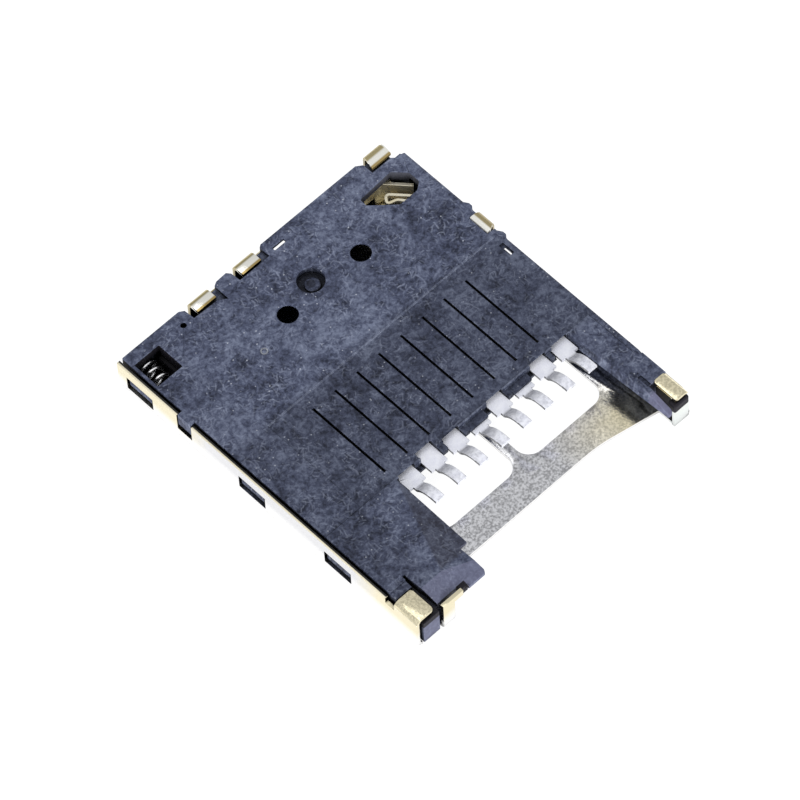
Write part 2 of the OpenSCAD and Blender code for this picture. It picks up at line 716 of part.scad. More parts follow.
module cam_pin() {
    bend = 0.2;
    reach = norm(lane_rest - pivot);
    color([0.78, 0.78, 0.8])
    translate([pivot[0], pivot[1], pin_z])
        rotate(atan2(lane_rest[1] - pivot[1], lane_rest[0] - pivot[0])) {
            translate([bend, 0, 0])
                rotate([0, 90, 0])
                    cylinder(d = pin_d, h = reach - 2 * bend);
            // bends at both ends
            translate([bend, 0, bend])
                rotate([90, 0, 0])
                    rotate([0, 0, 180])
                        rotate_extrude(angle = 90)
                            translate([bend, 0])
                                circle(d = pin_d);
            translate([reach - bend, 0, bend])
                rotate([90, 0, 0])
                    rotate([0, 0, 270])
                        rotate_extrude(angle = 90)
                            translate([bend, 0])
                                circle(d = pin_d);
            // pivot end and tip
            translate([0, 0, bend])
                cylinder(d = pin_d, h = bore_top - 0.05 - pin_z - bend);
            translate([reach, 0, bend])
                cylinder(d = pin_d, h = pin_tip_z - pin_z - bend);
        }
}

// EJECT SPRING: a coil whose end turns lie closed against their seats

coil_r = (spring_od - spring_wire) / 2;
coil_len = spring_rear_y - spring_front_y - spring_wire;
end_turns = 1;
coil_rings = spring_turns * spring_steps;

// place along the coil's axis after t turns
function coil_y(t) =
    let (open = (coil_len - 2 * end_turns * spring_wire) / (spring_turns - 2 * end_turns))
    t < end_turns ? t * spring_wire
    : t > spring_turns - end_turns ? coil_len - (spring_turns - t) * spring_wire
    : end_turns * spring_wire + (t - end_turns) * open;

// point j of the wire's cross-section at ring i
function coil_point(i, j) =
    let (t = i / spring_steps, a = 360 * t, b = 360 * j / spring_sides)
    let (r = coil_r + cos(b) * spring_wire / 2)
    [spring_x + r * cos(a), spring_front_y + spring_wire / 2 + coil_y(t) + sin(b) * spring_wire / 2,
     spring_z + r * sin(a)];

module eject_spring() {
    n = spring_sides;
    color([0.85, 0.85, 0.87])
    polyhedron(
        points = [for (i = [0:coil_rings], j = [0:n - 1]) coil_point(i, j)],
        faces = concat(
            [[for (j = [0:n - 1]) j]],
            [for (i = [0:coil_rings - 1], j = [0:n - 1])
                [i * n + j, (i + 1) * n + j, (i + 1) * n + (j + 1) % n, i * n + (j + 1) % n]],
            [[for (j = [n - 1:-1:0]) coil_rings * n + j]]));
}

housing();
shell();
slider();
card_lock_spring();
cam_pin();
eject_spring();
detect_fixed_terminal();
detect_spring_terminal();
contact(0);  // contact_1
contact(1);  // contact_2
contact(2);  // contact_3
contact(3);  // contact_4
contact(4);  // contact_5
contact(5);  // contact_6
contact(6);  // contact_7
contact(7);  // contact_8
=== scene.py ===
import math

import bpy
from mathutils import Matrix, Vector


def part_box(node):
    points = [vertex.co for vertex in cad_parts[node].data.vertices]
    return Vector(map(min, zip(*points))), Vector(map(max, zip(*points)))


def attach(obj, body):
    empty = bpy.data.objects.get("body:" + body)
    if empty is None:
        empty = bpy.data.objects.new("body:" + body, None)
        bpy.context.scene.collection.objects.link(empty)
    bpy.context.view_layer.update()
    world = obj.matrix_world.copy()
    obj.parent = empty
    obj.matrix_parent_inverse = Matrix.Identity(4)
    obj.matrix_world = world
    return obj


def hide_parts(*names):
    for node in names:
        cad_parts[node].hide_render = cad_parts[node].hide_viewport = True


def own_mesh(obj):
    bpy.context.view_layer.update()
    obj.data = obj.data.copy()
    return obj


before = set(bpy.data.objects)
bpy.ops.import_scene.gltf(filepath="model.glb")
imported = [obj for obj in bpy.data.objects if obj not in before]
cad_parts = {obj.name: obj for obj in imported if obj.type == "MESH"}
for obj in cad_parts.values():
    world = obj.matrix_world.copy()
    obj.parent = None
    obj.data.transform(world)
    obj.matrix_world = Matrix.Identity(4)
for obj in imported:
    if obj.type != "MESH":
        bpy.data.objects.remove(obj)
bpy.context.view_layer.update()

# CAMERA
# The part lies on its cover, and the camera looks down on the board side from the front left.
# A long lens keeps parallel edges nearly parallel, and the picture leans a few degrees.
mm = 0.001
view_azimuth = math.radians(-40.586)
view_elevation = math.radians(58.286)
view_roll = math.radians(-4.058)
view_distance = 253.32 * mm
view_aim = Vector((-0.7505, -0.6111, 1.6)) * mm
lens_mm = 315.75
sensor_mm = 36

back = Vector((math.sin(view_azimuth) * math.cos(view_elevation),
               -math.cos(view_azimuth) * math.cos(view_elevation),
               math.sin(view_elevation)))
level = Vector((math.cos(view_azimuth), math.sin(view_azimuth), 0))
upright = back.cross(level)
right = level * math.cos(view_roll) + upright * math.sin(view_roll)
up = upright * math.cos(view_roll) - level * math.sin(view_roll)
bpy.ops.object.select_all(action="DESELECT")
bpy.ops.object.camera_add()
camera = bpy.context.object
camera.matrix_world = (Matrix.Translation(view_aim + back * view_distance)
                       @ Matrix((right, up, back)).transposed().to_4x4())
camera.data.lens = lens_mm
camera.data.sensor_width = sensor_mm
camera.data.clip_start = 10 * mm
bpy.context.scene.camera = camera

# STUDIO
# The part lies on a light table, which stays white under it. The room is pale all round and a
# little lighter towards the front left, and a lamp at the front lifts the slopes at the mouth.
bpy.context.scene.view_settings.view_transform = "Standard"


class Finish:
    """A material and its node graph. Patterns read the object's own coordinates, in millimetres."""

    def __init__(self, name):
        self.material = bpy.data.materials.new(name)
        self.material.use_nodes = True
        self.nodes = self.material.node_tree.nodes
        self.shader = self.nodes["Principled BSDF"]
        place = self.nodes.new("ShaderNodeTexCoord")
        self.place = self.add("ShaderNodeMapping", Vector=place.outputs["Object"], Scale=(1 / mm,) * 3)
        self.xyz = self.add("ShaderNodeSeparateXYZ", Vector=self.place).outputs
        geometry = self.add("ShaderNodeNewGeometry")
        self.facing = self.add("ShaderNodeSeparateXYZ", Vector=geometry.outputs["Normal"]).outputs

    def feed(self, socket, value):
        """Sets a socket's value, or links it to a node's first output or to an output."""
        if isinstance(value, bpy.types.Node):
            value = value.outputs[0]
        if isinstance(value, bpy.types.NodeSocket):
            self.material.node_tree.links.new(value, socket)
        else:
            socket.default_value = value

    def add(self, kind, settings=None, **inputs):
        """Adds a node, with its settings and its inputs by name."""
        node = self.nodes.new(kind)
        for key, value in (settings or {}).items():
            setattr(node, key, value)
        for key, value in inputs.items():
            self.feed(node.inputs[key.replace("_", " ")], value)
        return node

    def noise(self, scale, detail=4, roughness=0.5, distortion=0):
        """A cloud pattern with so many lumps in a millimetre."""
        return self.add("ShaderNodeTexNoise", Vector=self.place, Scale=scale, Detail=detail,
                        Roughness=roughness, Distortion=distortion)

    def ramp(self, value, *stops):
        """Turns a value into greys or colours, with stops of the form (place, colour)."""
        node = self.add("ShaderNodeValToRGB", Fac=value)
        band = node.color_ramp
        while len(band.elements) < len(stops):
            band.elements.new(1)
        for element, (place, colour) in zip(band.elements, stops):
            element.position = place
            element.color = (*colour, 1) if isinstance(colour, tuple) else (colour,) * 3 + (1,)
        return node

    def mix(self, factor, a, b, blend="MIX"):
        """Mixes two colours."""
        node = self.nodes.new("ShaderNodeMix")
        node.data_type = "RGBA"
        node.blend_type = blend
        node.clamp_factor = True
        for socket, value in zip((node.inputs[0], node.inputs[6], node.inputs[7]), (factor, a, b)):
            if isinstance(value, tuple):
                value = (*value, 1)
            self.feed(socket, value)
        return node.outputs[2]

    def math(self, operation, a, b=0.0):
        """One sum on values."""
        node = self.nodes.new("ShaderNodeMath")
        node.operation = operation
        self.feed(node.inputs[0], a)
        self.feed(node.inputs[1], b)
        return node

    def bump(self, height, depth):
        """Surface relief of that depth, in metres."""
        return self.add("ShaderNodeBump", Height=height, Distance=depth)

    def inside(self, low, high):
        """One inside the box with these corners in millimetres, and zero elsewhere."""
        mask = 1.0
        for axis, a, b in zip("XYZ", low, high):
            mask = self.math("MULTIPLY", mask, self.math("GREATER_THAN", self.xyz[axis], a))
            mask = self.math("MULTIPLY", mask, self.math("LESS_THAN", self.xyz[axis], b))
        return mask

    def tint(self, colour, mask, strength, towards):
        """Moves a colour towards another where the mask is."""
        return self.mix(self.math("MULTIPLY", mask, strength), colour, towards)

    def hairs(self, scale, length, width):
        """Short bent hairs, one in each cell of a random pattern. Sizes are in millimetres."""
        full_turn = 6.283
        most_bow = 1.4
        cells = self.add("ShaderNodeTexVoronoi", Vector=self.place, Scale=scale)
        local = self.add("ShaderNodeVectorMath", {"operation": "SUBTRACT"})
        self.feed(local.inputs[0], self.place)
        self.feed(local.inputs[1], cells.outputs["Position"])
        chance = self.add("ShaderNodeSeparateColor", Color=cells.outputs["Color"]).outputs
        turned = self.add("ShaderNodeVectorRotate", {"rotation_type": "Z_AXIS"}, Vector=local,
                          Angle=self.math("MULTIPLY", chance[0], full_turn))
        run = self.add("ShaderNodeSeparateXYZ", Vector=turned).outputs
        bow = self.math("MULTIPLY", self.math("SUBTRACT", chance[1], 0.5), most_bow / length)
        bow = self.math("MULTIPLY", bow, self.math("MULTIPLY", run[0], run[0]))
        off = self.math("ABSOLUTE", self.math("SUBTRACT", run[1], bow))
        line = self.ramp(self.math("DIVIDE", off, width), (0.3, 1.0), (1.0, 0.0))
        reach = self.math("DIVIDE", self.math("ABSOLUTE", run[0]), length)
        end = self.ramp(reach, (0.4, 1.0), (0.5, 0.0))
        return self.math("MULTIPLY", self.math("MULTIPLY", line, end), chance[2])

    def hollow_shade(self, colour, reach, dark, open_at):
        """Paints shade into a colour: darkens it by ambient occlusion in slits and hollows that are narrower
        than about that reach.
        """
        shade = self.add("ShaderNodeAmbientOcclusion", {"samples": 8}, Distance=reach)
        light = self.ramp(shade.outputs["AO"], (dark, 0.0), (open_at, 1.0))
        return self.mix(1.0, colour, light.outputs[0], "MULTIPLY")

    def surface(self, **inputs):
        """Sets the shader's own sockets by name."""
        for key, value in inputs.items():
            self.feed(self.shader.inputs[key.replace("_", " ")], value)


table_size = 400 * mm
table_gap = 0.01 * mm
bpy.ops.mesh.primitive_plane_add(size=table_size, location=(0, 0, -table_gap))
table = bpy.context.object
table.name = "table"
paper = Finish("white_paper")
paper.surface(Base_Color=(0.25, 0.25, 0.25, 1), Roughness=0.9, Specular_IOR_Level=0.0,
              Emission_Color=(1, 1, 1, 1), Emission_Strength=0.9)
table.data.materials.append(paper.material)

# the sky's light grows evenly towards this side of the room
sky_side = (-0.35, -0.6, 0.2)
sky_gain = 0.25
sky_middle = 0.74
sky_colour = (0.97, 0.98, 1, 1)
world = bpy.data.worlds.new("studio")
bpy.context.scene.world = world
world.use_nodes = True
sky = world.node_tree
sky_place = sky.nodes.new("ShaderNodeTexCoord")
sky_slope = sky.nodes.new("ShaderNodeVectorMath")
sky_slope.operation = "DOT_PRODUCT"
sky_slope.inputs[1].default_value = sky_side
sky_light = sky.nodes.new("ShaderNodeMath")
sky_light.operation = "MULTIPLY_ADD"
sky_light.inputs[1].default_value = sky_gain
sky_light.inputs[2].default_value = sky_middle
sky.links.new(sky_place.outputs["Generated"], sky_slope.inputs[0])
sky.links.new(sky_slope.outputs["Value"], sky_light.inputs[0])
sky.links.new(sky_light.outputs[0], sky.nodes["Background"].inputs["Strength"])
sky.nodes["Background"].inputs["Color"].default_value = sky_colour


def add_lamp(name, azimuth, elevation, distance, size, power):
    """A square lamp that faces the part. Azimuth 0 is at the mouth's side and 90 at the right."""
    a, e = math.radians(azimuth), math.radians(elevation)
    way = Vector((math.sin(a) * math.cos(e), -math.cos(a) * math.cos(e), math.sin(e)))
    bpy.ops.object.light_add(type="AREA", location=way * distance)
    lamp = bpy.context.object
    lamp.name = name
    lamp.rotation_euler = way.to_track_quat("Z", "Y").to_euler()
    lamp.data.size = size
    lamp.data.energy = power


add_lamp("front", azimuth=-40, elevation=12, distance=200 * mm, size=50 * mm, power=0.27)
add_lamp("top", azimuth=200, elevation=75, distance=220 * mm, size=140 * mm, power=0.05)

# HOUSING
# One injection moulding in a dark glass-filled resin, which holds every other piece.
# Flow marks make it mottled, glass fibres lie in its skin, and its edges are just broken.


def copied(node, name):
    """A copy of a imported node's mesh, with its loose triangles merged."""
    merge_gap = 0.0004 * mm
    piece = bpy.data.objects.new(name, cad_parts[node].data.copy())
    piece.data.name = name
    piece.data.materials.clear()
    bpy.context.scene.collection.objects.link(piece)
    bpy.ops.object.select_all(action="DESELECT")
    piece.select_set(True)
    bpy.context.view_layer.objects.active = piece
    bpy.ops.object.mode_set(mode="EDIT")
    bpy.ops.mesh.select_all(action="SELECT")
    bpy.ops.mesh.remove_doubles(threshold=merge_gap)
    bpy.ops.object.mode_set(mode="OBJECT")
    return piece


def reshape(piece, operation, low, high, round_edge=0.0):
    """Cuts a box away from a piece (DIFFERENCE) or adds a box to it (UNION).

    The box is given by its two corners in millimetres.
    """
    middle = [(a + b) / 2 * mm for a, b in zip(low, high)]
    bpy.ops.object.select_all(action="DESELECT")
    bpy.ops.mesh.primitive_cube_add(size=1, location=middle)
    tool = bpy.context.object
    tool.scale = [(b - a) * mm for a, b in zip(low, high)]
    bpy.ops.object.transform_apply(location=False, rotation=False, scale=True)
    if round_edge:
        bpy.ops.object.mode_set(mode="EDIT")
        bpy.ops.mesh.select_all(action="SELECT")
        bpy.ops.mesh.bevel(offset=round_edge * mm, segments=3, affect="EDGES")
        bpy.ops.object.mode_set(mode="OBJECT")
    bpy.ops.object.select_all(action="DESELECT")
    piece.select_set(True)
    bpy.context.view_layer.objects.active = piece
    shape = piece.modifiers.new("shape", "BOOLEAN")
    shape.operation = operation
    shape.solver = "EXACT"
    shape.object = tool
    bpy.ops.object.modifier_apply(modifier=shape.name)
    bpy.data.objects.remove(tool)


def break_edges(piece, node, width, segments=2, flat=False):
    """Rounds off a piece's sharp edges to that width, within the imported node's box.

    Its main faces are then shaded flat, or their shading is evened out by their areas.
    """
    sharp = math.radians(28)
    main_area = 0.08 * mm * mm
    same_way = 0.9998
    spread = {}
    for face in piece.data.polygons:
        way = tuple(round(v, 2) for v in face.normal)
        spread[way] = spread.get(way, 0) + face.area
    main = [Vector(way).normalized() for way, area in spread.items() if area > main_area]
    bpy.ops.object.select_all(action="DESELECT")
    piece.select_set(True)
    bpy.context.view_layer.objects.active = piece
    bevel = piece.modifiers.new("edges", "BEVEL")
    bevel.width = width
    bevel.segments = segments
    bevel.limit_method = "ANGLE"
    bevel.angle_limit = sharp
    bevel.use_clamp_overlap = False
    bpy.ops.object.modifier_apply(modifier=bevel.name)
    bpy.ops.object.shade_smooth_by_angle(angle=sharp)
    if flat:
        for face in piece.data.polygons:
            if any(face.normal.dot(way) > same_way for way in main):
                face.use_smooth = False
    else:
        even = piece.modifiers.new("even", "WEIGHTED_NORMAL")
        even.keep_sharp = True
        even.weight = 100
        bpy.ops.object.modifier_apply(modifier=even.name)
    low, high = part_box(node)
    for vertex in piece.data.vertices:
        vertex.co = [min(max(v, a), b) for v, a, b in zip(vertex.co, low, high)]


resin = Finish("slate_resin")
flow = resin.noise(0.5, detail=4, roughness=0.6, distortion=0.6)
mottle = resin.noise(2.6, detail=5, roughness=0.62, distortion=0.7)
fine = resin.noise(8, detail=3, roughness=0.6, distortion=0.5)
small_clouds = resin.math("ADD", resin.math("MULTIPLY", mottle, 0.4), resin.math("MULTIPLY", fine, 0.3))
cloud = resin.math("ADD", resin.math("MULTIPLY", flow, 0.3), small_clouds)
deep_slate = (0.018, 0.022, 0.042)
mid_slate = (0.068, 0.08, 0.134)
pale_slate = (0.17, 0.195, 0.28)
skin = resin.ramp(cloud, (0.4, deep_slate), (0.5, mid_slate), (0.61, pale_slate)).outputs[0]

# glass fibres: short bent streaks of three lengths in patches, and their ends as specks
glass = (0.36, 0.4, 0.52)
glass_end = (0.6, 0.63, 0.7)
patch = resin.ramp(resin.noise(1.2, detail=3), (0.42, 0.1), (0.6, 1.0))
for cells_per_mm, length, width, strength in ((1.7, 0.6, 0.04, 0.3), (3, 0.36, 0.04, 0.34),
                                              (4.6, 0.24, 0.035, 0.42)):
    fibres = resin.math("MULTIPLY", resin.hairs(cells_per_mm, length, width), patch)
    skin = resin.tint(skin, fibres, strength, glass)
flecks = resin.add("ShaderNodeTexVoronoi", Vector=resin.place, Scale=5.5)
fleck_dot = resin.ramp(flecks.outputs["Distance"], (0.08, 1.0), (0.2, 0.0))
fleck_some = resin.ramp(resin.add("ShaderNodeSeparateColor", Color=flecks.outputs["Color"]).outputs[0],
                        (0.82, 0.0), (0.86, 1.0))
skin = resin.tint(skin, resin.math("MULTIPLY", fleck_dot, fleck_some), 0.7, glass_end)

# the skin is palest at the rear, darkest round the slits, and between on the arms and at the left;
# the ramps run from 0 to 1 over 16 mm, from the mouth to the rear and from the left to the right
half_run = 8.0
along = resin.math("DIVIDE", resin.math("ADD", resin.xyz["Y"], half_run), 2 * half_run)
across = resin.math("DIVIDE", resin.math("ADD", resin.xyz["X"], half_run), 2 * half_run)
in_row = resin.ramp(along, (0.3, 0.85), (0.32, 0.66), (0.61, 0.66), (0.65, 1.0))
at_left = resin.ramp(along, (0.3, 0.72), (0.62, 0.76), (0.65, 0.92))
depth_tone = resin.mix(resin.ramp(across, (0.18, 0.0), (0.2, 1.0)).outputs[0], at_left.outputs[0],
                       in_row.outputs[0])
skin = resin.mix(1.0, skin, depth_tone, "MULTIPLY")
# painted highlight: the steps in the skin are lightened as thin broken lines, where they catch the light
rear_step = (-4.87, 1.95, 1.5), (6.6, 2.02, 1.7)
slit_step = (-3.1, -2.93, 1.5), (5.6, -2.87, 1.7)
broken = resin.ramp(resin.noise(5, detail=3), (0.4, 0.2), (0.6, 1.0))
for step in (rear_step, slit_step):
    skin = resin.tint(skin, resin.math("MULTIPLY", resin.inside(*step), broken), 0.3, (0.3, 0.33, 0.42))
# painted light: slopes that face the mouth are tinted lavender, as lit by the front lamp, and the tongue is
# tinted lavender too
mouth_end = (-8, -8, 0), (8, -6.5, 2)
tongue_end = (5.4, -8, 1), (5.97, -6.9, 2)
front_lit_slopes = resin.ramp(resin.math("SUBTRACT", 0.0, resin.facing["Y"]), (0.06, 0.0), (0.16, 1.0))
front_lit_slopes = resin.math("MULTIPLY", front_lit_slopes, resin.inside(*mouth_end))
skin = resin.tint(skin, front_lit_slopes, 0.5, (0.17, 0.175, 0.26))
skin = resin.tint(skin, resin.inside(*tongue_end), 0.35, (0.2, 0.19, 0.3))
# painted shade: hollows under the tabs, behind the hook and in the spring's window are painted near black
under_left_tab = (-6.7, -8, 1.16), (-5.8, -6.7, 1.6)
under_right_tab = (5.96, -8, 0.5), (6.9, -6.6, 1.53)
hook_recess = (-4.72, -8, 0.9), (-4.33, -7.55, 1.5)
spring_window = (-6.53, 6.02, 0), (-5.26, 7.35, 1.58)
for hollow_shade in (under_left_tab, under_right_tab, hook_recess, spring_window):
    skin = resin.tint(skin, resin.inside(*hollow_shade), 0.93, (0.006, 0.004, 0.005))
# the switch's window is a dull grey inside
switch_window = (4.2, 5.43, 0), (6.37, 6.79, 1.56)
skin = resin.tint(skin, resin.inside(*switch_window), 0.85, (0.07, 0.07, 0.085))
# painted shade: the gate's recess is painted dark, in a ring round its stub and at its middle
gate_middle = (0.53, 5.4, 0)
gate = resin.add("ShaderNodeVectorMath", {"operation": "DISTANCE"})
resin.feed(gate.inputs[0], resin.add("ShaderNodeCombineXYZ", X=resin.xyz["X"], Y=resin.xyz["Y"]))
gate.inputs[1].default_value = gate_middle
gate_recess_shade = resin.ramp(gate.outputs["Value"], (0.15, 1.0), (0.19, 0.0), (0.3, 0.0), (0.33, 1.0),
                       (0.53, 1.0), (0.55, 0.0))
skin = resin.tint(skin, gate_recess_shade, 0.65, (0.01, 0.011, 0.018))
# painted shade: the teeth between the contacts are darkened on top, and the left arm's inner facet, which
# faces away from the light, is painted a darker brown
tooth_top_shade = resin.math("MULTIPLY", resin.ramp(along, (0.288, 0.0), (0.29, 1.0), (0.314, 1.0), (0.316, 0.0)),
                       resin.ramp(across, (0.3, 0.0), (0.31, 1.0), (0.84, 1.0), (0.845, 0.0)))
skin = resin.mix(resin.math("MULTIPLY", tooth_top_shade, 0.35), skin, (0.005, 0.006, 0.01))
facet_way = (0.932, -0.363, 0)
facet_side = resin.add("ShaderNodeVectorMath", {"operation": "DOT_PRODUCT"})
resin.feed(facet_side.inputs[0], resin.place)
facet_side.inputs[1].default_value = facet_way
past_facet = resin.math("ADD", resin.math("DIVIDE", facet_side.outputs["Value"], 10.0), 0.2)
facet_shade = resin.ramp(past_facet, (0.006, 0.0), (0.014, 1.0))
facet_length = resin.ramp(along, (0.075, 0.0), (0.08, 1.0), (0.3, 1.0), (0.316, 0.0))
facet_shade = resin.math("MULTIPLY", facet_shade, facet_length)
facet_shade = resin.math("MULTIPLY", facet_shade, resin.ramp(across, (0.31, 1.0), (0.32, 0.0)))
skin = resin.mix(resin.math("MULTIPLY", facet_shade, 0.45), skin, (0.03, 0.028, 0.034))
# painted highlight: the ring that the mould's ejector leaves is painted as a bright glint
ring_middle = (-2.76, 4.4, 1.6)
ring_mark = resin.add("ShaderNodeVectorMath", {"operation": "DISTANCE"})
resin.feed(ring_mark.inputs[0], resin.place)
ring_mark.inputs[1].default_value = ring_middle
ring_glint = resin.ramp(ring_mark.outputs["Value"], (0.085, 0.0), (0.1, 1.0), (0.14, 1.0), (0.16, 0.0))
skin = resin.mix(resin.math("MULTIPLY", ring_glint, 0.6), skin, (0.5, 0.52, 0.55))
# painted shade: the skin is darkened by ambient occlusion in slits and hollows
skin = resin.hollow_shade(skin, 0.8 * mm, 0.3, 0.72)
relief = resin.bump(resin.noise(12, detail=3, roughness=0.6), 0.008 * mm)
resin.surface(Base_Color=skin, Roughness=0.6, Specular_IOR_Level=0.2, Normal=relief)

housing = copied("housing", "housing_moulding")
# the rail's end: a channel beside the tongue, a thin tongue, and a rounded nose under the tab
tongue_channel = (5.96, -8, 0.6), (6.29, -6.6, 1.7)
tongue_underside = (5.3, -8, -0.1), (5.97, -7.5, 1.02)
tab_nose = (6.04, -7.84, 1), (6.79, -7.47, 1.46)
nose_rounding = 0.08
reshape(housing, "DIFFERENCE", *tongue_channel)
reshape(housing, "DIFFERENCE", *tongue_underside)
reshape(housing, "UNION", *tab_nose, round_edge=nose_rounding)
# the right arm's shoulder reaches over the end of the shell's wall
shoulder = (6.1, -6.6, 1.3), (6.69, -5.2, 1.62)
shoulder_lip = (6.6, -6.6, 1.51), (6.83, -5.4, 1.62)
# the hook's recess is closed behind the bar
recess_end = (-4.66, -7.75, 1), (-4.3, -7.5, 1.38)
# webs narrow the slot at the right edge to a slit, and shorten it
slot_left_web = (6.38, 0.95, 1.42), (6.5, 1.65, 1.48)
slot_right_web = (6.57, 0.95, 1.42), (6.66, 1.65, 1.48)
slot_rear_web = (6.48, 1.42, 1.42), (6.6, 1.65, 1.48)
for block in (shoulder, shoulder_lip, recess_end, slot_left_web, slot_right_web, slot_rear_web):
    reshape(housing, "UNION", *block)
break_edges(housing, "housing", 0.02 * mm, flat=True)
housing.data.materials.append(resin.material)
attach(housing, "frame")
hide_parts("housing")

# CONTACTS
# Eight strips stamped from spring copper alloy and tin plated, pressed into the moulding.
# Their plates show at its front edge, and their gull-wing leads end in the solder plane.
tin = Finish("tin_plate")
tin_cloud = tin.noise(3.5, detail=4, roughness=0.6)
tin_colour = tin.ramp(tin_cloud, (0.35, (0.84, 0.85, 0.94)), (0.65, (0.93, 0.94, 1.0)))
# painted shade: the leads are darkened in blotches on their slope where they leave the plates, and clear
# towards their feet
lead_way = tin.math("SUBTRACT", 0.0, tin.xyz["Y"])
lead_shade = tin.ramp(tin.math("DIVIDE", lead_way, 10.0), (0.352, 1.0), (0.362, 0.5), (0.39, 0.72),
                     (0.42, 1.0))
shade_blotches = tin.ramp(tin.noise(7, detail=4, roughness=0.65), (0.35, 0.72), (0.6, 1.0))
lead_on = tin.ramp(tin.math("DIVIDE", lead_way, 10.0), (0.35, 0.0), (0.36, 1.0))
lead_shade = tin.mix(lead_on, lead_shade.outputs[0], tin.math("MULTIPLY", lead_shade, shade_blotches))
tin_colour = tin.mix(1.0, tin_colour.outputs[0], lead_shade, "MULTIPLY")
tin_relief = tin.bump(tin.noise(20, detail=3), 0.002 * mm)
tin.surface(Base_Color=tin_colour, Metallic=0.1, Roughness=0.4, Normal=tin_relief)

# the strips' sheared sides are bare copper alloy, gone grey
sheared = Finish("sheared_edge")
sheared_tone = sheared.ramp(sheared.noise(8, detail=3), (0.35, (0.1, 0.1, 0.11)), (0.65, (0.28, 0.28, 0.29)))
sheared.surface(Base_Color=sheared_tone, Metallic=0.6, Roughness=0.5)

contact_count = 8
facing_aside = 0.7
for number in range(1, contact_count + 1):
    strip = copied(f"contact_{number}", f"contact_strip_{number}")
    strip.data.materials.append(tin.material)
    strip.data.materials.append(sheared.material)
    for face in strip.data.polygons:
        face.material_index = 1 if abs(face.normal.x) > facing_aside else 0
    break_edges(strip, f"contact_{number}", 0.01 * mm, segments=1, flat=True)
    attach(strip, "frame")
    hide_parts(f"contact_{number}")

# DETECT SWITCH
# Two gold-plated strips that the card's corner presses together. Each runs out to a tail that
# is soldered to the board, one at the rear edge and one at the right side.
gold = Finish("gold_plate")
gold_cloud = gold.noise(2.5, detail=4)
gold_colour = gold.ramp(gold_cloud, (0.3, (0.9, 0.8, 0.55)), (0.7, (1.0, 0.94, 0.76)))
# painted light and shade: a tail is painted khaki at its outer bend, which faces away from the light, bright
# on top, where the light falls, and brown at its tip face, which lies in shade
shaded_bend_khaki = (0.45, 0.33, 0.13)
lit_top_gold = (1.0, 0.98, 0.9)
shaded_tip_brown = (0.45, 0.38, 0.2)
side_shaded_tip_brown = (0.4, 0.33, 0.17)
rear_band_start = 7.2
side_band_start = 6.3
rear_tail_start = 7.0
side_tail_start = 6.42
tail_top = gold.ramp(gold.xyz["Z"], (0.8, 0.0), (0.95, 1.0))
rear_tail_shading = gold.ramp(gold.math("SUBTRACT", gold.xyz["Y"], rear_band_start), (0.1, shaded_bend_khaki), (0.16, shaded_bend_khaki),
                      (0.22, lit_top_gold), (0.4, lit_top_gold), (0.48, shaded_tip_brown))
side_tail_shading = gold.ramp(gold.math("SUBTRACT", gold.xyz["X"], side_band_start), (0.2, lit_top_gold),
                      (0.36, lit_top_gold), (0.42, side_shaded_tip_brown))
gold_rear = gold.math("MULTIPLY", tail_top, gold.math("GREATER_THAN", gold.xyz["Y"], rear_tail_start))
gold_side = gold.math("MULTIPLY", tail_top, gold.math("GREATER_THAN", gold.xyz["X"], side_tail_start))
gold_colour = gold.mix(gold_rear, gold_colour.outputs[0], rear_tail_shading.outputs[0])
gold_colour = gold.mix(gold_side, gold_colour, side_tail_shading.outputs[0])
gold_relief = gold.bump(gold.noise(12, detail=3), 0.004 * mm)
gold.surface(Base_Color=gold_colour, Metallic=0.7, Roughness=0.22, Normal=gold_relief)

for node, name in (("detect_fixed_terminal", "detect_fixed_strip"),
                   ("detect_spring_terminal", "detect_spring_strip")):
    strip = copied(node, name)
    break_edges(strip, node, 0.012 * mm, segments=1)
    strip.data.materials.append(gold.material)
    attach(strip, "frame")
    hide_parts(node)

# SLIDER
# The moulding that the card pushes, in a black resin with a heart-shaped cam groove.
# A leaf of spring strip on it drops into the notch at the card's side.
black = Finish("black_resin")
black_cloud = black.ramp(black.noise(3, detail=5), (0.35, (0.012, 0.012, 0.014)), (0.7, (0.035, 0.035, 0.04)))
black_relief = black.bump(black.noise(15, detail=4), 0.004 * mm)
black.surface(Base_Color=black_cloud, Roughness=0.45, Normal=black_relief)

slider = copied("slider", "slider_moulding")
break_edges(slider, "slider", 0.02 * mm)
slider.data.materials.append(black.material)
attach(slider, "slider")
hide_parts("slider")

steel = Finish("spring_steel")
steel_cloud = steel.ramp(steel.noise(4, detail=4), (0.3, (0.85, 0.85, 0.87)), (0.7, (0.98, 0.98, 0.98)))
steel_relief = steel.bump(steel.noise(30, detail=2), 0.001 * mm)
steel.surface(Base_Color=steel_cloud, Metallic=1.0, Roughness=0.22, Normal=steel_relief)

leaf = copied("card_lock_spring", "card_lock_leaf")
break_edges(leaf, "card_lock_spring", 0.01 * mm, segments=1)
leaf.data.materials.append(steel.material)
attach(leaf, "slider")
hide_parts("card_lock_spring")

# CAM PIN
# A bent length of bright wire. One end turns in the moulding, and the other runs in the
# slider's groove and holds the slider where the card is locked.
pin = copied("cam_pin", "cam_pin_wire")
break_edges(pin, "cam_pin", 0.012 * mm)
pin.data.materials.append(steel.material)
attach(pin, "cam_pin")
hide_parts("cam_pin")
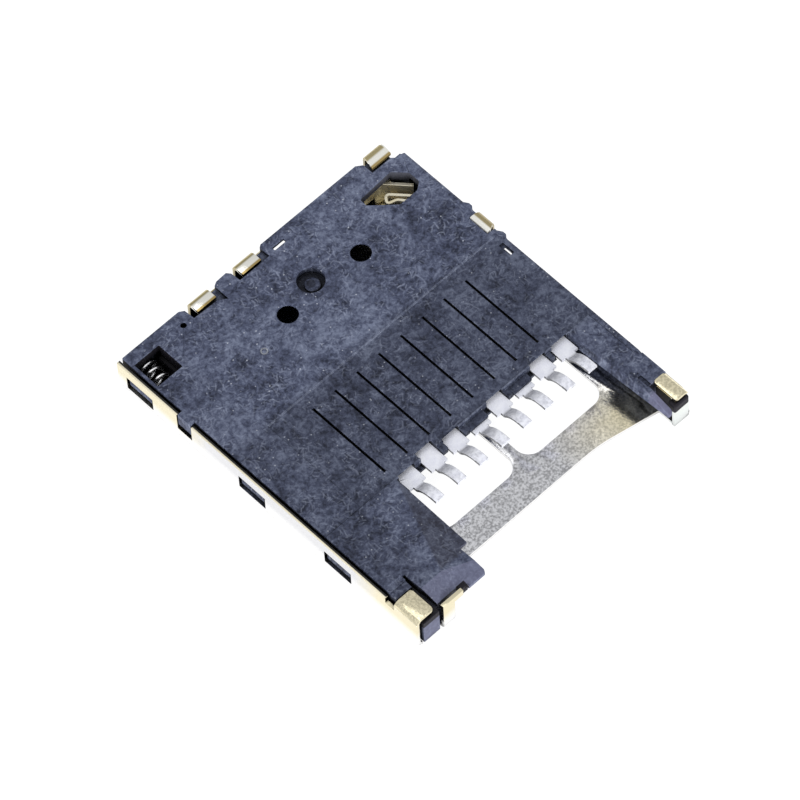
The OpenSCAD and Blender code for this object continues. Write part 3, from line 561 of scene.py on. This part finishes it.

# EJECT SPRING
# A coil of bright wire between the slider and the moulding's rear wall, with closed end turns.
# It runs along Y, is built at one length and rides with the frame, and a few of its turns show in the rear
# window.
coil_low, coil_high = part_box("eject_spring")
wire = 0.13 * mm
turns = 26
closed_turns = 1
steps_per_turn = 28
coil_radius = (coil_high.z - coil_low.z - wire) / 2
coil_middle = (coil_low + coil_high) / 2
coil_length = coil_high.y - coil_low.y - wire
open_pitch = (coil_length - 2 * closed_turns * wire) / (turns - 2 * closed_turns)
coil_curve = bpy.data.curves.new("eject_coil", "CURVE")
coil_curve.dimensions = "3D"
coil_curve.bevel_depth = wire / 2
coil_curve.bevel_resolution = 3
coil_curve.use_fill_caps = True
coil_line = coil_curve.splines.new("POLY")
coil_line.points.add(turns * steps_per_turn)
for i, point in enumerate(coil_line.points):
    turn = i / steps_per_turn
    advance = min(turn, closed_turns) * wire
    advance += min(max(turn - closed_turns, 0), turns - 2 * closed_turns) * open_pitch
    advance += max(turn - turns + closed_turns, 0) * wire
    point.co = (coil_middle.x + coil_radius * math.cos(2 * math.pi * turn),
                coil_low.y + wire / 2 + advance,
                coil_middle.z + coil_radius * math.sin(2 * math.pi * turn), 1)
coil = bpy.data.objects.new("eject_coil", coil_curve)
bpy.context.scene.collection.objects.link(coil)
bpy.ops.object.select_all(action="DESELECT")
coil.select_set(True)
bpy.context.view_layer.objects.active = coil
bpy.ops.object.convert(target="MESH")
coil = bpy.context.object
bpy.ops.object.shade_smooth()
coil.data.materials.clear()
coil.data.materials.append(steel.material)
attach(coil, "frame")
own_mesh(coil)
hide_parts("eject_spring")

# SHELL
# One sheet, stamped and folded round the moulding: cover, side walls, solder tabs and tails.
# Its plating is pale gold at both ends and silver between, and it is finely grained.
sheet = Finish("shell_plate")
silver = (0.84, 0.84, 0.86)
pale_gold = (0.97, 0.88, 0.62)
silver_middle = 0.6
ends = sheet.math("ABSOLUTE", sheet.math("ADD", sheet.xyz["Y"], silver_middle))
ends = sheet.math("ADD", ends, sheet.math("MULTIPLY", sheet.noise(0.8, detail=3), 0.9))
golden = sheet.ramp(sheet.math("DIVIDE", ends, 10.0), (0.42, 0.0), (0.56, 1.0))
# the cover's inner face is silver, but for its right side
cover_low = sheet.ramp(sheet.xyz["Z"], (0.2, 1.0), (0.3, 0.0))
cover_left = sheet.ramp(sheet.math("DIVIDE", sheet.xyz["X"], 10.0), (0.2, 1.0), (0.5, 0.0))
bare = sheet.math("MULTIPLY", cover_low, cover_left)
golden = sheet.math("MULTIPLY", golden, sheet.math("SUBTRACT", 1.0, bare))
tone = sheet.mix(golden, silver, pale_gold)
# faces that lie level are grained, but for the hook and the tails; the folded walls are smooth,
# and paler towards the cover
hook_end = (-6, -8, 1), (-4, -7.4, 2)
rear_tails = (-3.5, 7.1, 1), (0, 8, 2)
lying = sheet.ramp(sheet.math("ABSOLUTE", sheet.facing["Z"]), (0.3, 0.0), (0.8, 1.0))
smooth_end = sheet.math("ADD", sheet.inside(*hook_end), sheet.inside(*rear_tails))
lying = sheet.math("MULTIPLY", lying, sheet.math("SUBTRACT", 1.0, smooth_end))
grain = sheet.noise(11, detail=2, roughness=0.6)
grey = sheet.ramp(grain, (0.38, 0.3), (0.6, 1.0))
grain_depth = sheet.math("SUBTRACT", 0.74, sheet.math("MULTIPLY", golden, 0.3))
tone = sheet.mix(sheet.math("MULTIPLY", lying, grain_depth), tone, grey.outputs[0], "MULTIPLY")
low_wall = sheet.math("MULTIPLY", sheet.ramp(sheet.xyz["Z"], (0.4, 1.0), (1.0, 0.0)),
                      sheet.math("SUBTRACT", 1.0, lying))
tone = sheet.tint(tone, sheet.math("SUBTRACT", 1.0, lying), 0.14, (0.0, 0.0, 0.0))
tone = sheet.mix(low_wall, tone, (1.0, 0.99, 0.98))
# painted light and shade: its tails have the same painted bands as the detect switch's
banded_tails = (-3.5, 7.1, 0.8), (0, 8, 2)
tail_shading = sheet.ramp(sheet.math("SUBTRACT", sheet.xyz["Y"], rear_band_start), (0.14, shaded_bend_khaki),
                       (0.17, shaded_bend_khaki), (0.22, lit_top_gold), (0.43, lit_top_gold), (0.5, shaded_tip_brown))
tone = sheet.mix(sheet.inside(*banded_tails), tone, tail_shading.outputs[0])
# the flap at the right front corner is pale grey
flap_corner = (6, -8, -1), (7, -7.5, 1.1)
tone = sheet.tint(tone, sheet.inside(*flap_corner), 0.9, (0.8, 0.84, 0.82))
# painted shade: the plating is darkened by ambient occlusion in hollows and where the moulding stands close
# over it
tone = sheet.hollow_shade(tone, 1.5 * mm, 0.15, 0.6)
sheet_relief = sheet.bump(grain, 0.004 * mm)
sheet.surface(Base_Color=tone, Metallic=1.0, Roughness=0.12, Normal=sheet_relief)

# the walls' upper edges are cut through the plating: nearly black on the left, with a pale outer
# corner, and brown on the right
cut_metal = Finish("sheet_cut")
cut_grain = cut_metal.ramp(cut_metal.noise(9, detail=3), (0.35, (0.008, 0.008, 0.008)),
                           (0.65, (0.03, 0.028, 0.025)))
wall_inside = 6.0
into_wall = cut_metal.math("SUBTRACT", cut_metal.math("ABSOLUTE", cut_metal.xyz["X"]), wall_inside)
outer_corner = cut_metal.ramp(into_wall, (0.77, 0.0), (0.79, 1.0))
right_wall = cut_metal.math("GREATER_THAN", cut_metal.xyz["X"], 0.0)
cut_tone = cut_metal.tint(cut_grain.outputs[0], outer_corner, 1.0, (0.8, 0.74, 0.56))
cut_tone = cut_metal.tint(cut_tone, right_wall, 0.9, (0.4, 0.37, 0.25))
cut_metal.surface(Base_Color=cut_tone, Metallic=0.3, Roughness=0.6)

shell = copied("shell", "shell_sheet")
# the right wall stops short under its tab, and a flap turned up from the cover closes the corner
wall_front_end = (6.55, -8, 0.3), (7, -7.45, 1.53)
cover_corner = (6, -8, -0.1), (7, -7.76, 0.3)
corner_flap = (6.1, -7.77, 0), (6.84, -7.63, 0.97)
reshape(shell, "DIFFERENCE", *wall_front_end)
reshape(shell, "DIFFERENCE", *cover_corner)
reshape(shell, "UNION", *corner_flap)
# the hook's bar ends a little short of its recess
bar_tip = (-4.67, -8, 1), (-4.4, -7.6, 1.6)
reshape(shell, "DIFFERENCE", *bar_tip)
break_edges(shell, "shell", 0.015 * mm)
shell.data.materials.append(sheet.material)
shell.data.materials.append(cut_metal.material)
wall_face_x = 6.7 * mm
wall_top_low = 1.49 * mm
wall_top_high = wall_top_low + 0.03 * mm
facing_up = 0.9
for face in shell.data.polygons:
    in_wall = abs(face.center.x) > wall_face_x and wall_top_low < face.center.z < wall_top_high
    if in_wall and face.normal.z > facing_up:
        face.material_index = 1
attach(shell, "frame")
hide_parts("shell")
